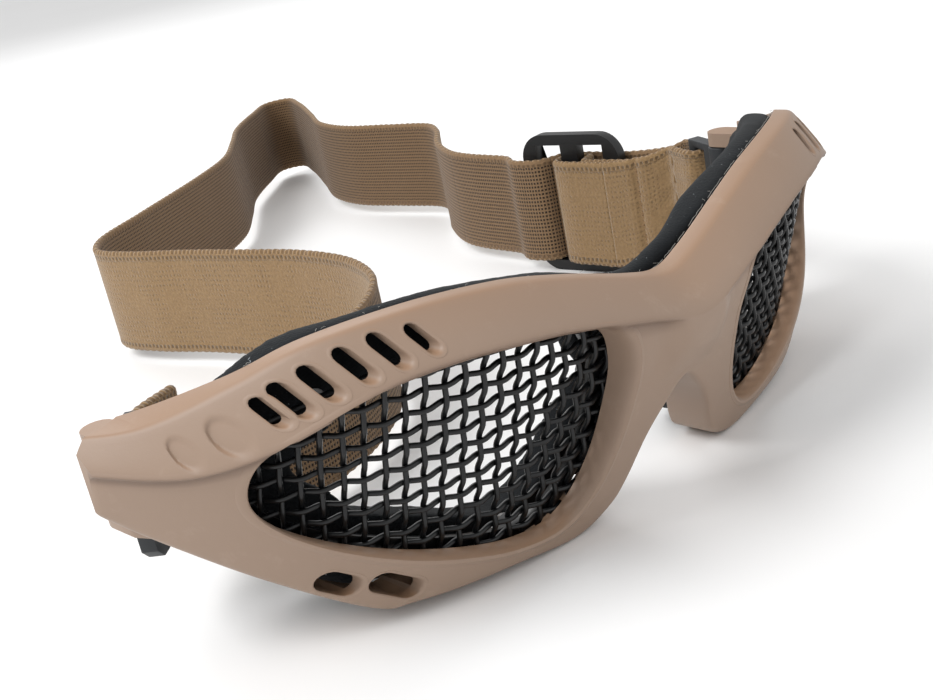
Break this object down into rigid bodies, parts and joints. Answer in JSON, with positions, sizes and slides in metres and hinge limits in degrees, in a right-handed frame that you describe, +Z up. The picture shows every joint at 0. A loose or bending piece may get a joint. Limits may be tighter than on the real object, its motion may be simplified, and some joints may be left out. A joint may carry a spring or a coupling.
{
  "type": "wire mesh goggles",
  "caption": "Wrap-around protective goggles with a one-piece vented shell, woven wire mesh lenses, foam face pad and an elastic strap with an adjusting slider.",
  "frame": {"origin": "on the table, under the middle of the whole object's box", "axes": "+X to the wearer's left, +Y from the bridge towards the back of the head, +Z up"},
  "size_m": [0.2226, 0.3038, 0.05],
  "materials": {
    "shell_plastic": "satin tan moulded plastic",
    "wire_mesh": "glossy black coated wire",
    "retainer_plastic": "gloss black",
    "steel": "dark steel",
    "bracket_plastic": "slate grey plastic",
    "slider_plastic": "satin black plastic",
    "webbing": "knitted elastic, pile on one face and a ribbed grid on the other",
    "foam": "fabric-faced foam"
  },
  "bodies": {
    "frame": {"frame_shell": "shell_plastic", "mesh_lens_left": "wire_mesh", "lens_retainer_left": "retainer_plastic", "retainer_screw_left_1": "steel", "retainer_screw_left_2": "steel", "retainer_screw_left_3": "steel", "retainer_screw_left_4": "steel", "retainer_screw_left_5": "steel", "bracket_pin_left": "steel", "mesh_lens_right": "wire_mesh", "lens_retainer_right": "retainer_plastic", "retainer_screw_right_1": "steel", "retainer_screw_right_2": "steel", "retainer_screw_right_3": "steel", "retainer_screw_right_4": "steel", "retainer_screw_right_5": "steel", "bracket_pin_right": "steel", "foam_pad": "foam", "strap_sewn_end": "webbing", "strap_outer_run": "webbing", "strap_main": "webbing", "strap_tail": "webbing"},
    "bracket_left": {"strap_bracket_left": "bracket_plastic", "strap_loop_left": "webbing"},
    "bracket_right": {"strap_bracket_right": "bracket_plastic", "strap_loop_right": "webbing"},
    "slider": {"strap_slider": "slider_plastic"}
  },
  "joints": [
    {"name": "bracket_left_turn", "type": "hinge", "parent": "frame", "child": "bracket_left", "pos_m": [0.05047, -0.09935, 0.031], "axis": [0, 0, 1], "range_deg": [-15, 15], "deforming": ["strap_sewn_end", "strap_outer_run"]},
    {"name": "bracket_right_turn", "type": "hinge", "parent": "frame", "child": "bracket_right", "pos_m": [-0.10453, -0.09935, 0.031], "axis": [0, 0, 1], "range_deg": [-15, 15], "deforming": ["strap_tail"]},
    {"name": "slider_slide", "type": "slide", "parent": "frame", "child": "slider", "axis": [-0.1305, 0.9914, 0], "range_m": [-0.006, 0.01], "deforming": ["strap_sewn_end", "strap_outer_run"]}
  ]
}
